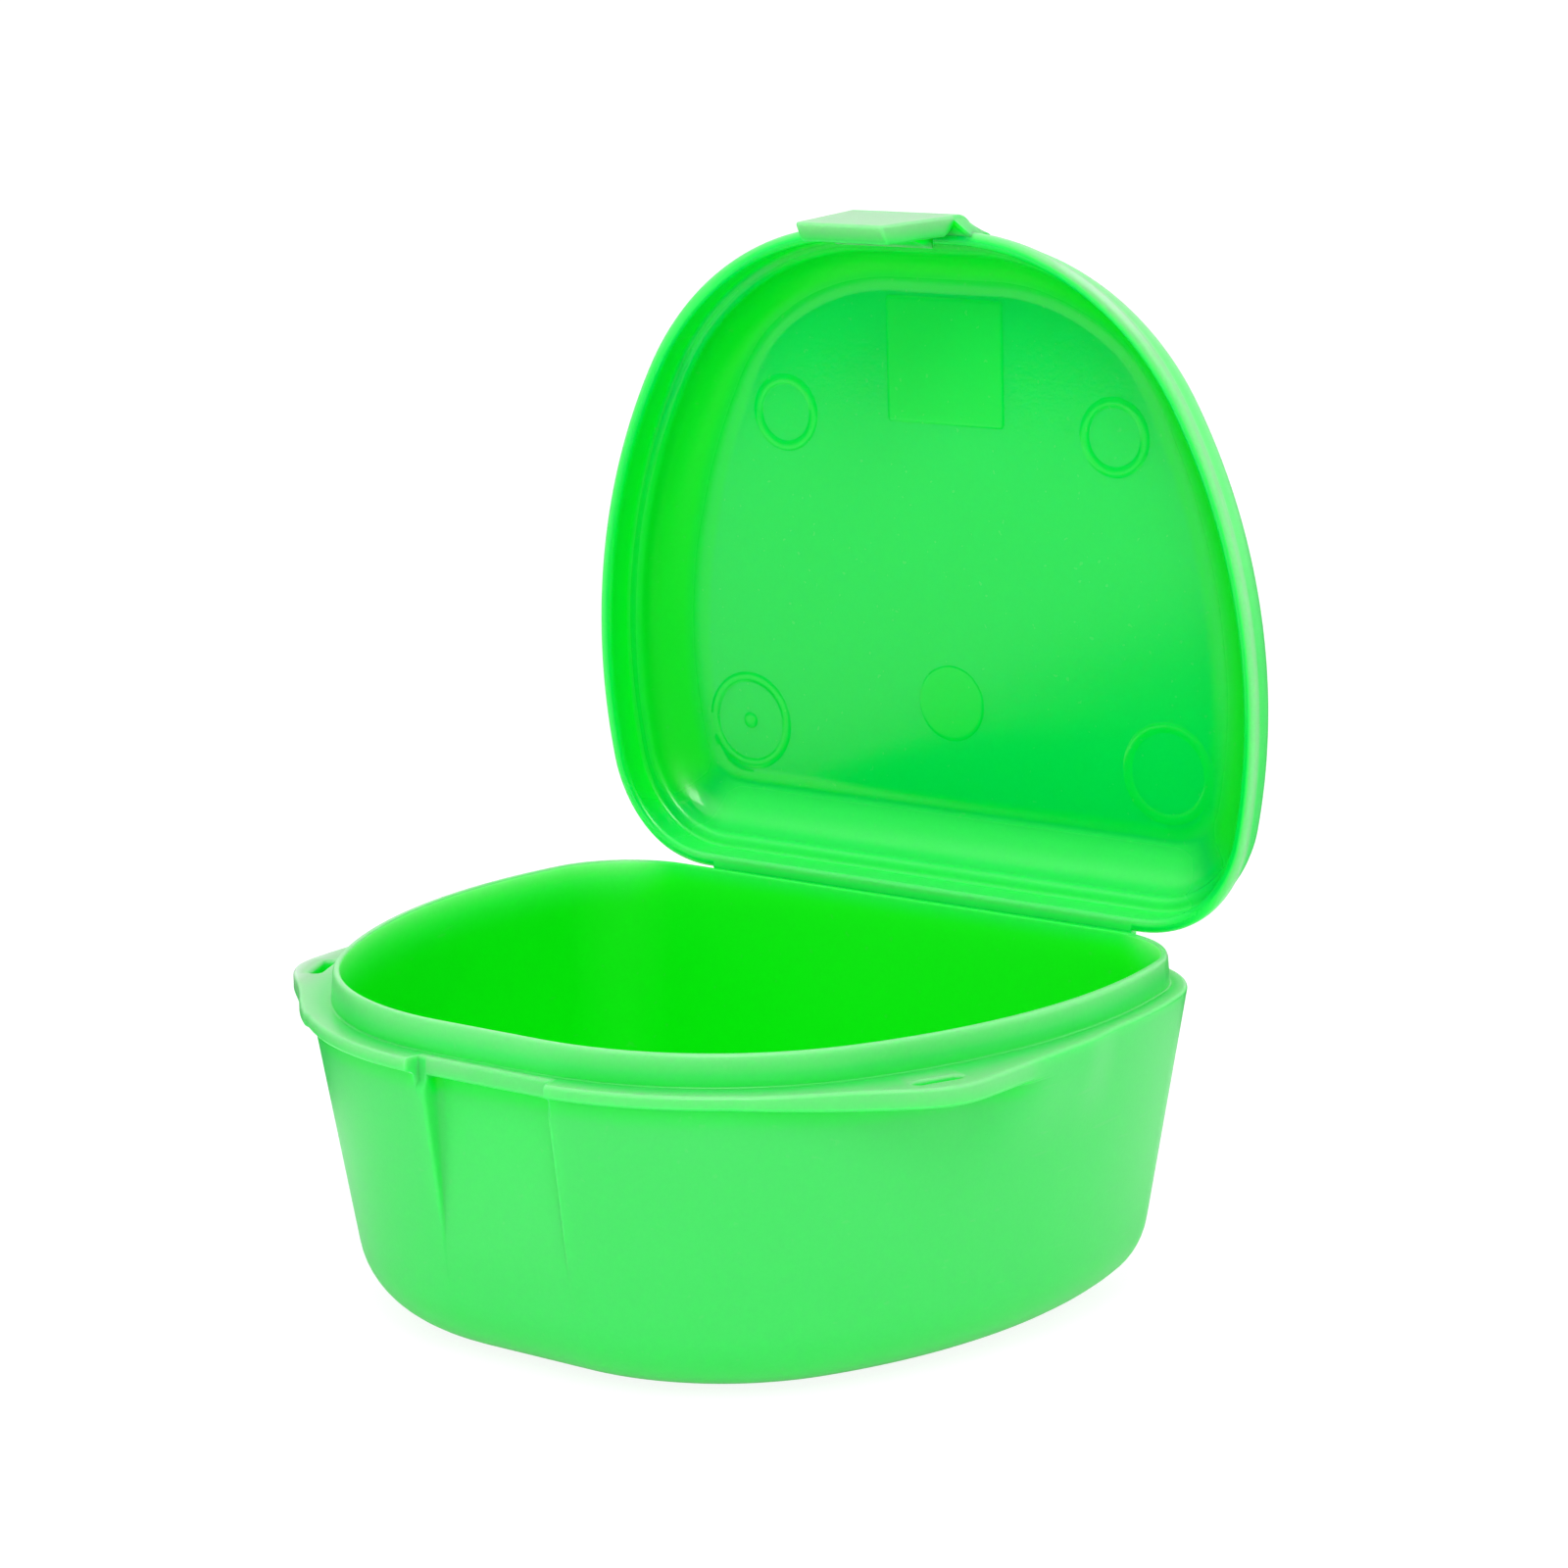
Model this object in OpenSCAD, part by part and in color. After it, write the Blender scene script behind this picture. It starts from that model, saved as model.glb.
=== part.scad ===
// Orthodontic retainer case: a one-shot polypropylene tub and lid on a living hinge,
// with a snap tab at the front and two lanyard ears. Drawn with its lid open.
// Millimetres. Front (latch) at -Y, hinge at +Y, up is +Z, the tub stands on Z = 0.

/* [Outline] */
// Width over the rim at its widest point
case_w = 80; // [76:1:88]
// Depth over the rim, front to rear
case_d = 68; // [64:1:74]
// Straight stretch at the middle of the front
front_flat = 12; // [8:1:14]
// Distance from the rear face forward to the widest point
widest_back = 22.3; // [20:0.1:25]
// Turn of each front corner before the long side arc takes over, degrees
shoulder_a = 60.5; // [56:0.5:65]
// Radius of the rear corners
rear_r = 12.4; // [11.5:0.1:14]

/* [Base] */
// Height of the ledge that the lid closes on
ledge_h = 30.4; // [24:0.1:36]
// Depth of the flange under the ledge
flange_t = 1.8; // [1.4:0.1:2.6]
// Height over which the undersides of the flange and the hinge land slope in
ease_h = 0.2; // [0.1:0.05:0.3]
// Draft of the outer wall, degrees
draft_a = 9.7; // [7:0.1:10.5]
// Wall thickness above the bottom radius
wall_t = 1.6; // [1.2:0.1:2.2]
// Floor thickness
floor_t = 1.8; // [1.2:0.1:2.6]
// Outside radius between wall and floor
bottom_r = 8.3; // [4:0.1:9]
// Inside radius between wall and floor
inner_r = 6.5; // [3:0.1:7]

/* [Collar] */
// Width of the ledge outside the collar
ledge_w = 1.7; // [1.3:0.1:2.2]
// Height of the collar above the ledge
collar_h = 3.05; // [2:0.05:3.6]
// Inward lean of the collar from root to top
collar_lean = 0.13; // [0:0.01:0.3]
// Thickness of the collar
collar_t = 0.7; // [0.6:0.05:1.2]

/* [Flange and ears] */
// Overhang of the front lip beyond the rim
lip_w = 1.2; // [0.6:0.1:1.8]
// Angle of the ear's front edge to the X axis, degrees
ear_a = 38.4; // [36:0.1:41]
// Distance from the front of the rim back to the ear's corner, before its rounding
ear_back = 18.9; // [18.6:0.1:19.6]
// Rounding of the ear's corner
ear_r = 0.9; // [0.6:0.1:1.2]
// Length of a lanyard slot
slot_l = 5.6; // [5:0.1:6]
// Width of a lanyard slot
slot_w = 1.7; // [1.4:0.1:1.8]
// Strip left between the rim and a lanyard slot
slot_margin = 0.6; // [0.4:0.05:0.8]
// Direction from the side arc's centre to a lanyard slot, degrees from the front
slot_a = 66.5; // [65:0.5:68]

/* [Latch] */
// Width of the notch and of the recess under it
notch_w = 15; // [14.5:0.1:17]
// Slope of the notch's two end faces
notch_slope = 0.3; // [0.2:0.05:0.6]
// How far the flange is set back in the notch
set_back = 0.6; // [0.4:0.05:0.9]
// Depth of the recess just under the flange
recess_d = 2.4; // [1.9:0.1:2.5]
// Width of the tab at the lid's rim
tab_root_w = 13.2; // [11:0.1:13.8]
// Width of the tab's free end
tab_tip_w = 10.3; // [8:0.1:13]
// Length of the tab below the lid's rim
tab_drop = 10.6; // [8:0.1:13]
// Thickness of the tab
tab_t = 2; // [1.6:0.1:2.2]
// Thickness left at the rim, where the tab bends
flex_t = 1; // [0.6:0.1:1.2]
// Length over which the tab thins towards the rim
flex_l = 1.3; // [0.8:0.1:1.6]
// How much shorter the tab's inner face is than its outer face at the free end
tip_lean = 0.9; // [0.4:0.1:1.4]
// Gap between the closed tab and the set-back flange
tab_gap = 0.2; // [0.15:0.05:0.5]
// Reach of the hook under the flange, from the tab
hook_d = 1.5; // [1:0.1:1.7]
// Width of the hook
hook_w = 11.2; // [7:0.1:11.4]
// Length of the hook's lead-in ramp
hook_h = 3.4; // [2:0.1:4]
// Gap between the closed hook and the flange
hook_gap = 0.3; // [0.25:0.05:0.5]
// Height of the boss that carries the tab on the lid's wall, where its slope runs out
boss_h = 4.5; // [3.6:0.1:5.2]
// Height over which the boss stays flush with the tab before it slopes back
boss_flat = 1.6; // [0.8:0.1:2.4]
// Flare of the boss where it meets the lid's wall
boss_flare = 2.2; // [1:0.1:3]

/* [Lid] */
// Height of the lid over its rim
lid_h = 8.85; // [8:0.05:11]
// Outside radius of the lid's top edge
lid_r = 6.6; // [4:0.1:6.8]
// Inward slope of the lid's wall up to that radius
lid_taper = 0.67; // [0:0.01:0.9]
// Thickness of the lid's panel
lid_t = 1.4; // [1:0.1:1.8]
// Width of the step above the collar's seat
step_w = 1.5; // [1:0.1:2]
// Inside radius between the lid's wall and its panel
lid_inner_r = 4; // [2:0.1:4]

/* [Living hinge] */
// Hinge line's distance behind the rear face
hinge_back = 2.18; // [1.6:0.01:3]
// Half the width of the web between its two lands
web_half = 0.5; // [0.3:0.05:0.7]
// Thickness of the web
web_t = 0.35; // [0.25:0.05:0.5]
// Thickness of the lid's hinge land
land_t = 1.3; // [0.8:0.1:1.5]
// Distance from the end of the rear straight to the end of the hinge
hinge_inset = 0.6; // [0.5:0.1:6]
// How far the lid stands open as drawn, degrees from closed
open_a = 88; // [60:1:120]

/* [Clearances] */
// Gap between the closed lid's rim and the ledge
seat_gap = 0.2; // [0.15:0.05:0.3]
// Gap between the collar and the lid's seat wall
side_gap = 0.3; // [0.2:0.05:0.4]
// Gap over the collar in the lid's seat
top_gap = 0.35; // [0.2:0.05:0.5]

/* [Hidden] */
wall_green = [0.33, 0.93, 0.46];
lid_green = [0.18, 0.89, 0.35];
tab_green = [0.74, 0.91, 0.78];
web_green = [0.10, 0.85, 0.20];

front_y = -case_d / 2;
rear_y = case_d / 2;
widest_y = rear_y - widest_back;
// Half of a plan is five tangent runs: front straight, front arc, side arc, rear arc, rear straight.
turn_t = tan(45 - shoulder_a / 2);
front_r = (case_w / 2 - front_flat / 2 - (widest_y - front_y) * turn_t) / (1 - turn_t);
side_r = front_r + (widest_y - front_y - front_r) / cos(shoulder_a);
rear_a = 90 + asin((widest_back - rear_r) / (side_r - rear_r));
front_c = [front_flat / 2, front_y + front_r];
side_c = [case_w / 2 - side_r, widest_y];
rear_c = side_c + (side_r - rear_r) * heading(rear_a);

flange_z = ledge_h - flange_t;
rim_z = ledge_h + seat_gap;
rim_t = ledge_w - side_gap;
seat_h = collar_h + top_gap - seat_gap;
hinge = [0, rear_y + hinge_back, ledge_h + seat_gap / 2];
hinge_half = rear_c[0] - hinge_inset;
web_end = hinge_half - ease_h;
land_reach = hinge_back - web_half;
tab_out = tab_t - (set_back - tab_gap);
arc_steps = 6;

// Stations along the right half of the plan: [angle from the front, x on a straight]
notch_in = notch_w / 2 - notch_slope;
half = concat(
    [if (notch_in > front_c[0]) [0, front_c[0]]],
    [front_station(notch_in), front_station(notch_w / 2)],
    [if (notch_w / 2 < front_c[0]) [0, front_c[0]]],
    arc_stations(front_angle(notch_w / 2), shoulder_a, 14),
    arc_stations(shoulder_a, 90, 15),
    arc_stations(90, rear_a, 3),
    arc_stations(rear_a, 180, 9),
    [for (x = [hinge_half, web_end]) [180, x]]
);
last = len(half) - 1;

function heading(a) = [sin(a), -cos(a)];
function steps(from, to, n) = [for (i = [0:n]) from + (to - from) * i / n];
function front_angle(x) = asin(max(0, x - front_c[0]) / front_r);
function front_station(x) = [front_angle(x), x];
function arc_stations(from, to, n) = [for (i = [1:n]) [from + (to - from) * i / n, rear_c[0]]];
function in_notch(i) = half[i][0] <= front_angle(notch_in) && half[i][1] <= notch_in;
function on_hinge(i) = i == last;

// Point of the plan at a station, moved in from the rim by inset
function plan_point(st, inset) =
    st[0] <= 0 ? [st[1], front_y + inset]
    : st[0] <= shoulder_a ? front_c + (front_r - inset) * heading(st[0])
    : st[0] <= rear_a ? side_c + (side_r - inset) * heading(st[0])
    : st[0] < 180 ? rear_c + (rear_r - inset) * heading(st[0])
    : [st[1], rear_y - inset];

// Closed ring at one height, from one inset for each station of the right half
function ring(z, insets) =
    let (right = [for (i = [0:last]) plan_point(half[i], insets[i])])
    concat(
        [for (p = right) [p[0], p[1], z]],
        [for (i = [last:-1:0]) [-right[i][0], right[i][1], z]]
    );
function even(inset) = [for (i = [0:last]) inset];
function even_ring(p) = ring(p[1], even(p[0]));

// Points [inset, z] on a quarter round about [inset, z], from angle a0 to a1
function round_points(c, r, a0, a1) =
    [for (a = steps(a0, a1, arc_steps)) c + r * [-cos(a), sin(a)]];

// Solid between rings, listed from the lower end cap to the upper one
module loft(rings) {
    n = len(rings[0]);
    points = [for (r = rings) each r];
    faces = [
        [for (j = [0:n - 1]) j],
        [for (j = [n - 1:-1:0]) (len(rings) - 1) * n + j],
        for (k = [0:len(rings) - 2], j = [0:n - 1])
            let (a = k * n + j, b = k * n + (j + 1) % n, c = b + n, d = a + n)
                each [[a, d, c], [a, c, b]]
    ];
    polyhedron(points, faces);
}

// Overhang of the flange beyond the rim: notch, lip, ear, flush side, hinge land
function soft_min(a, b) = -ear_r * ln(exp(-a / ear_r) + exp(-b / ear_r));
// Reach of the ear along a station's normal, to its side edge and its front edge
ear_corner = [case_w / 2, front_y + ear_back];
function ear_reach(st) =
    let (to_corner = ear_corner - plan_point(st, 0), n = heading(st[0]), edge = heading(ear_a))
    let (to_side = to_corner[0] / n[0], to_front = (to_corner * edge) / (n * edge))
    max(0, soft_min(to_side, to_front));
function flange_reach(i) =
    let (a = half[i][0])
    in_notch(i) ? -set_back
    : on_hinge(i) ? land_reach
    : a < ear_a ? lip_w
    : a < shoulder_a ? max(lip_w, ear_reach(half[i]))
    : a < 90 ? ear_reach(half[i])
    : 0;
flange_insets = [for (i = [0:last]) -flange_reach(i)];

// Outer and inner wall lines of the tub as insets at a height
function wall_inset(z) = (flange_z - z) * tan(draft_a);
collar_top = ledge_h + collar_h;
collar_in = ledge_w + collar_lean + collar_t;
core_a = atan((wall_inset(bottom_r) + wall_t - collar_in) / (collar_top - bottom_r));
function core_inset(z) = collar_in + (collar_top - z) * tan(core_a);
// A bottom radius stops where it would use up the rear corner
corner_room = rear_r - 2 * ease_h;
foot_r = min(bottom_r, (corner_room - wall_inset(0)) / (1 / cos(draft_a) - tan(draft_a)));
foot_c = [wall_inset(foot_r) + foot_r / cos(draft_a), foot_r];
core_r = min(inner_r, (corner_room - core_inset(floor_t)) / (1 / cos(core_a) - tan(core_a)));
core_c = [core_inset(floor_t + core_r) + core_r / cos(core_a), floor_t + core_r];
recess_z = flange_z - recess_d / tan(draft_a);
recess_top = flange_z - ease_h;
recess_insets = [for (i = [0:last]) in_notch(i) ? recess_d : wall_inset(recess_top)];
collar_points = [[ledge_w, ledge_h], [collar_in - collar_t, collar_top], [collar_in, collar_top]];

module lanyard_slot() {
    centre = side_c + (side_r + slot_margin + slot_w / 2) * heading(slot_a);
    run = slot_l - slot_w;
    tall = flange_t + 2 * ease_h;
    translate([centre[0], centre[1], recess_top]) rotate([0, 0, slot_a]) {
        translate([-run / 2, -slot_w / 2, 0]) cube([run, slot_w, tall]);
        for (s = [-1, 1]) translate([s * run / 2, 0, 0]) cylinder(d = slot_w, h = tall, $fn = 32);
    }
}

module base_tub() {
    color(wall_green) difference() {
        loft(concat(
            [for (p = round_points(foot_c, foot_r, -90, -draft_a)) even_ring(p)],
            [even_ring([recess_d, recess_z]), ring(recess_top, recess_insets)],
            [ring(flange_z, flange_insets), ring(ledge_h, flange_insets)],
            [for (p = collar_points) even_ring(p)],
            [for (p = round_points(core_c, core_r, -core_a, -90)) even_ring(p)]
        ));
        lanyard_slot();
        mirror([1, 0, 0]) lanyard_slot();
    }
}

// Thin strip that bends from the tub's land round to the lid's land
module hinge_web() {
    bend_r = web_half * tan(open_a / 2) + seat_gap / 2;
    centre = [hinge[1] - web_half, ledge_h + bend_r];
    turn = steps(-90, 90 - open_a, 10);
    color(web_green) translate([-web_end, 0, 0]) rotate([90, 0, 90]) linear_extrude(2 * web_end)
        polygon(concat(
            [for (a = turn) centre + bend_r * [cos(a), sin(a)]],
            [for (i = [len(turn) - 1:-1:0]) centre + (bend_r + web_t) * [cos(turn[i]), sin(turn[i])]]
        ));
}

// Turns what is drawn for the closed lid to the open angle
module lid_open() {
    translate(hinge) rotate([-open_a, 0, 0]) translate(-hinge) children();
}

seat_i = rim_t + step_w;
bowl_r = min(lid_inner_r, lid_h - lid_t - seat_h - ease_h / 2);
crown_z = lid_h - lid_r;
function lid_inset(z) = lid_taper * z / crown_z;
function lid_land(z) = ring(rim_z + z, [for (i = [0:last]) on_hinge(i) ? -land_reach : lid_inset(z)]);
function lid_ring(p) = even_ring(p + [0, rim_z]);

// Boss on the lid's front wall that the tab hangs from: flared in plan, sloped back to the lid in section
module boss() {
    root = tab_root_w / 2;
    foot = root + boss_flare;
    face_y = front_y - tab_out;
    back_y = front_y + rim_t - ease_h / 2;
    intersection() {
        translate([0, 0, rim_z]) linear_extrude(boss_h)
            polygon([
                [-foot, front_y], [-root, face_y], [root, face_y],
                [foot, front_y], [foot, back_y], [-foot, back_y]
            ]);
        translate([-foot, 0, 0]) rotate([90, 0, 90]) linear_extrude(2 * foot)
            polygon([
                [face_y, rim_z], [back_y, rim_z],
                [back_y, rim_z + boss_h], [face_y, rim_z + boss_flat]
            ]);
    }
}

module lid_shell() {
    color(lid_green) lid_open() {
        loft(concat(
            [for (p = round_points([seat_i + bowl_r, lid_h - lid_t - bowl_r], bowl_r, 90, 0)) lid_ring(p)],
            [for (p = [[seat_i, seat_h], [rim_t, seat_h], [rim_t, 0]]) lid_ring(p)],
            [lid_land(0), lid_land(land_t)],
            [lid_ring([lid_inset(land_t + ease_h), land_t + ease_h])],
            [for (p = round_points([lid_taper + lid_r, crown_z], lid_r, 0, 90)) lid_ring(p)]
        ));
        boss();
    }
}

module latch_tab() {
    outer = front_y - tab_out;
    inner = outer + tab_t;
    tip_z = rim_z - tab_drop;
    hook_z = flange_z - hook_gap;
    color(tab_green) lid_open() {
        intersection() {
            translate([-tab_root_w / 2, 0, 0]) rotate([90, 0, 90]) linear_extrude(tab_root_w)
                polygon([
                    [outer, rim_z], [outer, tip_z], [inner, tip_z + tip_lean],
                    [inner, rim_z - flex_l], [outer + flex_t, rim_z]
                ]);
            translate([0, inner, 0]) rotate([90, 0, 0]) linear_extrude(tab_t)
                polygon([
                    [-tab_root_w / 2, rim_z], [-tab_tip_w / 2, tip_z],
                    [tab_tip_w / 2, tip_z], [tab_root_w / 2, rim_z]
                ]);
        }
        translate([-hook_w / 2, 0, 0]) rotate([90, 0, 90]) linear_extrude(hook_w)
            polygon([
                [outer + flex_t, hook_z], [inner + hook_d, hook_z],
                [inner + hook_d, hook_z - ease_h], [inner, hook_z - hook_h],
                [outer + flex_t, hook_z - hook_h]
            ]);
    }
}

base_tub();
hinge_web();
lid_shell();
latch_tab();
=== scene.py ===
import math

import bmesh
import bpy
from mathutils import Matrix, Vector


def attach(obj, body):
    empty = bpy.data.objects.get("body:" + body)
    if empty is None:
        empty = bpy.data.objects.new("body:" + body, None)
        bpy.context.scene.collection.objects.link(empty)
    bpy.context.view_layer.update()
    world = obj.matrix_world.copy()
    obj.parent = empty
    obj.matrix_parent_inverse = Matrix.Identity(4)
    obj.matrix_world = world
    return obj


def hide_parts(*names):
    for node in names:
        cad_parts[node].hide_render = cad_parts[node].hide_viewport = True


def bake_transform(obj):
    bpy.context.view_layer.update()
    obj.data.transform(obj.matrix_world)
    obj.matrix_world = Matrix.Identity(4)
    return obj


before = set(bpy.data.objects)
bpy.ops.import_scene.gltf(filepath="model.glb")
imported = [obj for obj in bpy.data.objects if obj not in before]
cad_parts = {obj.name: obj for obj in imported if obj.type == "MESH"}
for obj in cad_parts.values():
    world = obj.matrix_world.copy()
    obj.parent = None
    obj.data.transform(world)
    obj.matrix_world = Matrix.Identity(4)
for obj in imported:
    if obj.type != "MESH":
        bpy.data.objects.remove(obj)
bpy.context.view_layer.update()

# Tub
# The lower half of the moulding: a drafted, round-bottomed tub of green polypropylene, open at the top.
# A flange runs round it under the ledge, with a lip at the front, an ear with a cord slot at each side,
# a notch for the snap tab and a land at the rear for the hinge. A thin collar stands on the ledge.
MM = 0.001
case_w, case_d = 80.0, 68.0
front_flat, widest_back = 12.0, 22.3
shoulder_a, rear_r = 60.5, 12.4
front_y, rear_y = -case_d / 2, case_d / 2
widest_y = rear_y - widest_back
turn_t = math.tan(math.radians(45 - shoulder_a / 2))
front_r = (case_w / 2 - front_flat / 2 - (widest_y - front_y) * turn_t) / (1 - turn_t)
side_r = front_r + (widest_y - front_y - front_r) / math.cos(math.radians(shoulder_a))
rear_a = 90 + math.degrees(math.asin((widest_back - rear_r) / (side_r - rear_r)))


def heading(angle):
    """Unit direction in plan, measured from the front (-Y) towards the right (+X)."""
    turn = math.radians(angle)
    return Vector((math.sin(turn), -math.cos(turn)))


front_c = Vector((front_flat / 2, front_y + front_r))
side_c = Vector((case_w / 2 - side_r, widest_y))
rear_c = side_c + (side_r - rear_r) * heading(rear_a)


def plan_point(station, inset):
    """Point of the plan at a station (angle, x), moved in from the rim along its normal."""
    angle, x = station
    if angle <= 0:
        return Vector((x, front_y + inset))
    if angle >= 180:
        return Vector((x, rear_y - inset))
    if angle <= shoulder_a:
        centre, radius = front_c, front_r
    elif angle <= rear_a:
        centre, radius = side_c, side_r
    else:
        centre, radius = rear_c, rear_r
    return centre + (radius - inset) * heading(angle)


def front_station(x):
    """Station at a distance x from the middle of the front."""
    past_flat = max(0.0, x - front_c.x)
    return math.degrees(math.asin(past_flat / front_r)), x


def spread(start, stop, count):
    """Evenly spread values after start, up to and with stop."""
    return [start + (stop - start) * (k + 1) / count for k in range(count)]


def plan_stations(front_x, rear_x):
    """Stations of the right half, from the middle of the front to the middle of the rear."""
    stations = [front_station(x) for x in front_x]
    arcs = ((stations[-1][0], shoulder_a, 34), (shoulder_a, 90, 44), (90, rear_a, 10), (rear_a, 180, 26))
    for start, stop, count in arcs:
        stations += [(angle, rear_c.x) for angle in spread(start, stop, count)]
    return stations + [(180, x) for x in rear_x]


def rounded(centre, reach, start, stop, count=5):
    """Points (inset, height) on an ellipse about a centre. 0 degrees faces out of the case, 90 up."""
    turns = [math.radians(start + (stop - start) * k / count) for k in range(count + 1)]
    return [(centre[0] - reach[0] * math.cos(t), centre[1] + reach[1] * math.sin(t)) for t in turns]


def ease(low, high, value):
    """0 below low, 1 above high, and a smooth climb between."""
    t = min(1.0, max(0.0, (value - low) / (high - low)))
    return t * t * (3 - 2 * t)


def toned(points, start, stop=None):
    """Gives points (inset, height) a tone, which paints light and shade: 0 deep green as painted shade
    inside, 0.5 on an outer wall, 1 on a thin edge painted pale as if lit.
    """
    stop = start if stop is None else stop
    last = max(1, len(points) - 1)
    return [(inset, z, start + (stop - start) * k / last, 0.0) for k, (inset, z) in enumerate(points)]


def paint(mesh, name, values):
    """Stores a value for every vertex of a mesh."""
    layer = mesh.attributes.new(name, "FLOAT", "POINT")
    layer.data.foreach_set("value", values)


def side_faces(levels, around):
    """Faces between closed loops of points that are listed one loop after another."""
    faces = []
    for first in range(0, (levels - 1) * around, around):
        for j in range(around):
            a, b = first + j, first + (j + 1) % around
            faces.append((a, b, b + around, a + around))
    return faces


def end_faces(levels, around):
    """Caps on the first and on the last of those loops."""
    return [tuple(range(around)), tuple(range((levels - 1) * around, levels * around))]


def solid(name, points, faces, tones):
    """Closed piece from points in millimetres and faces, which are turned outwards."""
    build = bmesh.new()
    corners = [build.verts.new(Vector(p) * MM) for p in points]
    for face in faces:
        build.faces.new([corners[k] for k in face])
    bmesh.ops.recalc_face_normals(build, faces=build.faces)
    mesh = bpy.data.meshes.new(name)
    build.to_mesh(mesh)
    build.free()
    paint(mesh, "tone", tones)
    piece = bpy.data.objects.new(name, mesh)
    bpy.context.scene.collection.objects.link(piece)
    return piece


def skin(name, stations, right_profiles, left_profiles):
    """Closed piece through one profile (inset, height, tone, glow) for each station of both halves."""
    loop = [(1, s, p) for s, p in zip(stations, right_profiles)]
    loop += [(-1, s, p) for s, p in list(zip(stations, left_profiles))[-2:0:-1]]
    levels = len(right_profiles[0])
    points, tones, glows = [], [], []
    for k in range(levels):
        for side, station, profile in loop:
            inset, height, tone, glow = profile[k]
            flat = plan_point(station, inset)
            points.append((side * flat.x, flat.y, height))
            tones.append(tone)
            glows.append(glow)
    first, last = end_faces(levels, len(loop))
    piece = solid(name, points, [first[::-1], *side_faces(levels, len(loop)), last], tones)
    paint(piece.data, "glow", glows)
    return piece


def join_solid(piece, tool, operation):
    """Cuts the tool out of the piece, or fuses it on, and removes the tool."""
    step = piece.modifiers.new(operation.lower(), "BOOLEAN")
    step.operation = operation
    step.object = tool
    step.solver = "EXACT"
    shape = piece.evaluated_get(bpy.context.evaluated_depsgraph_get())
    mesh = bpy.data.meshes.new_from_object(shape)
    piece.modifiers.clear()
    piece.data = mesh
    bpy.data.objects.remove(tool)


def even_shading(piece):
    """Keeps flat faces flat beside their rounded edges."""
    piece.data.shade_smooth()
    step = piece.modifiers.new("even_shading", "WEIGHTED_NORMAL")
    step.weight = 60


# Heights, thicknesses and radii, and the plan angles over which the flange changes
ledge_h, flange_t, draft_a = 30.4, 1.8, 9.7
lip_t, notch_t, ear_t = 1.4, 1.9, 2.0
wall_t, floor_t, bottom_r, inner_r = 1.6, 1.8, 8.3, 6.5
ledge_w, collar_h, collar_lean, collar_t = 1.7, 3.05, 0.13, 0.7
lip_w, ear_a, ear_back, ear_r, ear_blend = 1.0, 38.4, 18.9, 1.6, 0.9
notch_ends, recess_ends = {1: 8.4, -1: 7.1}, {1: 8.45, -1: 6.7}
notch_slope, set_back, front_zone_a = 0.25, 0.6, 20
recess_d, recess_r, recess_fade, recess_steep, recess_soft = 2.4, 0.4, 0.85, 7, 0.02
hinge_back, web_half, hinge_inset, land_end = 2.18, 0.5, 0.6, 0.4
flange_edge_r, cove_r, root_r, under_slope = 0.4, 0.35, 0.22, 0.06
collar_round_w, collar_round_h, collar_inner_r = 0.35, 0.8, 0.2
lip_ends, ear_ends, ear_thickens, flange_fades, fade_h = (50, 72), (84, 90), (36, 62), (70, 80), 9
flange_z = ledge_h - flange_t
collar_top = ledge_h + collar_h
land_reach = hinge_back - web_half
land_x = rear_c.x - hinge_inset
draft_t = math.tan(math.radians(draft_a))
collar_in = ledge_w + collar_lean + collar_t


def wall_inset(z):
    """Inset of the plain outer wall at a height."""
    return (flange_z - z) * draft_t


core_t = (wall_inset(bottom_r) + wall_t - collar_in) / (collar_top - bottom_r)
core_a = math.degrees(math.atan(core_t))
brow_z = ledge_h - flange_edge_r
brow_t = wall_inset(bottom_r) / (brow_z - bottom_r)


def core_inset(z):
    """Inset of the inner wall at a height."""
    return collar_in + (collar_top - z) * core_t


def brow_inset(z, reach):
    """Inset at a height of the plain slope that wall and flange run into at the sides."""
    return (brow_z - z) * brow_t - reach


def in_notch(station, side):
    """1 in the notch for the tab, 0 outside it, with soft corners."""
    angle, x = station
    if angle > front_zone_a:
        return 0.0
    return 1 - ease(notch_ends[side], notch_ends[side] + notch_slope, x)


def recess_cut(station, side, full):
    """Depth of the recess under the notch at a station: full, with a rounded edge at its two ends."""
    angle, x = station
    run = recess_ends[side] - x
    if angle > front_zone_a or run <= 0:
        return 0.0
    arc = recess_r - math.sqrt(max(0.0, recess_r ** 2 - run ** 2))
    arc += recess_steep * max(0.0, run - recess_r)
    return full * arc / math.hypot(full, arc)


def ear_reach(station):
    """How far the ear stands out, to the nearer of its side edge and front edge, with a round corner."""
    normal, edge = heading(station[0]), heading(ear_a)
    to_corner = Vector((case_w / 2, front_y + ear_back)) - plan_point(station, 0)
    to_side = to_corner.x / normal.x
    to_front = to_corner.dot(edge) / normal.dot(edge)
    return -ear_r * math.log(math.exp(-to_side / ear_r) + math.exp(-to_front / ear_r))


def flange_reach(station, side):
    """Overhang of the flange: set back in the notch, a lip at the front, the ears, the hinge land."""
    angle, x = station
    if angle >= 180:
        return land_reach * (1 - ease(land_x - land_end, land_x, x))
    if angle >= 90:
        return 0.0
    lip = lip_w * (1 - ease(*lip_ends, angle))
    if angle > ear_a:
        ear = ear_reach(station)
        lip = ear_blend * math.log(math.exp(lip / ear_blend) + math.exp(ear / ear_blend))
        lip = max(0.0, lip * (1 - ease(*ear_ends, angle)))
    return lip - (lip + set_back) * in_notch(station, side)


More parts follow.
